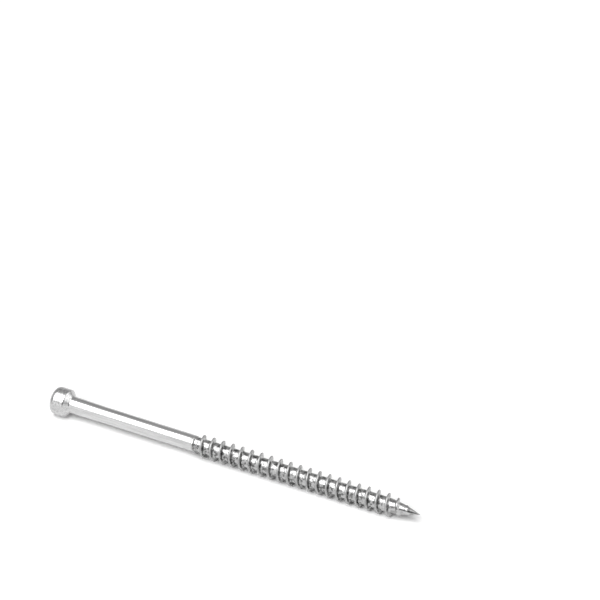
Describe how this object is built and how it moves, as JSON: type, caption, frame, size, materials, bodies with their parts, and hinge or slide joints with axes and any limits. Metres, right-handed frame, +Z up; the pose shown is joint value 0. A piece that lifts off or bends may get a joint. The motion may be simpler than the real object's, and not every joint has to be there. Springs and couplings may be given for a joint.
{
  "type": "deck screw",
  "caption": "Stainless steel trim-head deck screw with a star recess, plain shank, coarse wood thread and sharp point, lying on its side",
  "frame": {"origin": "bottom centre of the bounding box, on the surface that the screw lies on", "axes": "+X runs from the head to the tip, parallel to the surface apart from the small dip that the wider head gives; +Z is up"},
  "size_m": [0.0762, 0.0054, 0.0055],
  "materials": {
    "stainless_steel": "bright drawn and rolled stainless steel"
  },
  "bodies": {
    "root": {"screw": "stainless_steel"}
  },
  "joints": []
}
